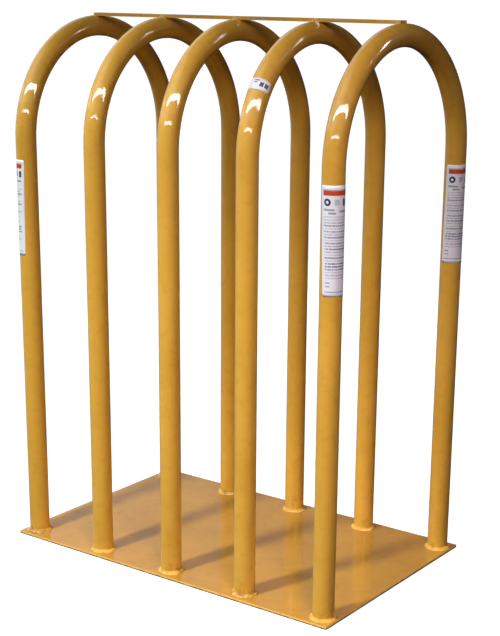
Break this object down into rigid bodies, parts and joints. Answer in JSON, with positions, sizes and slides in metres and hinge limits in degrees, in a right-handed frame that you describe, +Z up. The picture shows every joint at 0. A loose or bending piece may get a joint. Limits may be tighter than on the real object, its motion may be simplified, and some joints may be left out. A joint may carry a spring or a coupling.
{
  "type": "tyre inflation cage",
  "caption": "Free-standing welded steel cage of inverted-U tube hoops on a flat base plate, tied along the top, that holds a truck wheel while its tyre is inflated.",
  "frame": {"origin": "centre of the base plate's underside", "axes": "+Z up; X along the row of hoops, parallel to the base plate's long side; -Y towards the front legs"},
  "size_m": [0.968, 0.613, 1.324],
  "materials": {
    "cage_paint": "gloss yellow-ochre enamel",
    "weld_paint": "gloss yellow-ochre enamel over rippled weld beads",
    "label_vinyl": "satin white vinyl with a plain orange band and plain grey rules"
  },
  "bodies": {
    "root": {"base_plate": "cage_paint", "hoop_1": "cage_paint", "hoop_2": "cage_paint", "hoop_3": "cage_paint", "hoop_4": "cage_paint", "hoop_5": "cage_paint", "tie_bar": "cage_paint", "bend_label": "label_vinyl", "foot_weld_front_1": "weld_paint", "foot_weld_front_2": "weld_paint", "foot_weld_front_3": "weld_paint", "foot_weld_front_4": "weld_paint", "foot_weld_front_5": "weld_paint", "foot_weld_rear_1": "weld_paint", "foot_weld_rear_2": "weld_paint", "foot_weld_rear_3": "weld_paint", "foot_weld_rear_4": "weld_paint", "foot_weld_rear_5": "weld_paint", "leg_label_front_1": "label_vinyl", "leg_label_front_5": "label_vinyl", "leg_label_rear_1": "label_vinyl", "leg_label_rear_5": "label_vinyl", "tie_weld_front_1": "weld_paint", "tie_weld_front_2": "weld_paint", "tie_weld_front_3": "weld_paint", "tie_weld_front_4": "weld_paint", "tie_weld_front_5": "weld_paint", "tie_weld_rear_1": "weld_paint", "tie_weld_rear_2": "weld_paint", "tie_weld_rear_3": "weld_paint", "tie_weld_rear_4": "weld_paint", "tie_weld_rear_5": "weld_paint"}
  },
  "joints": []
}
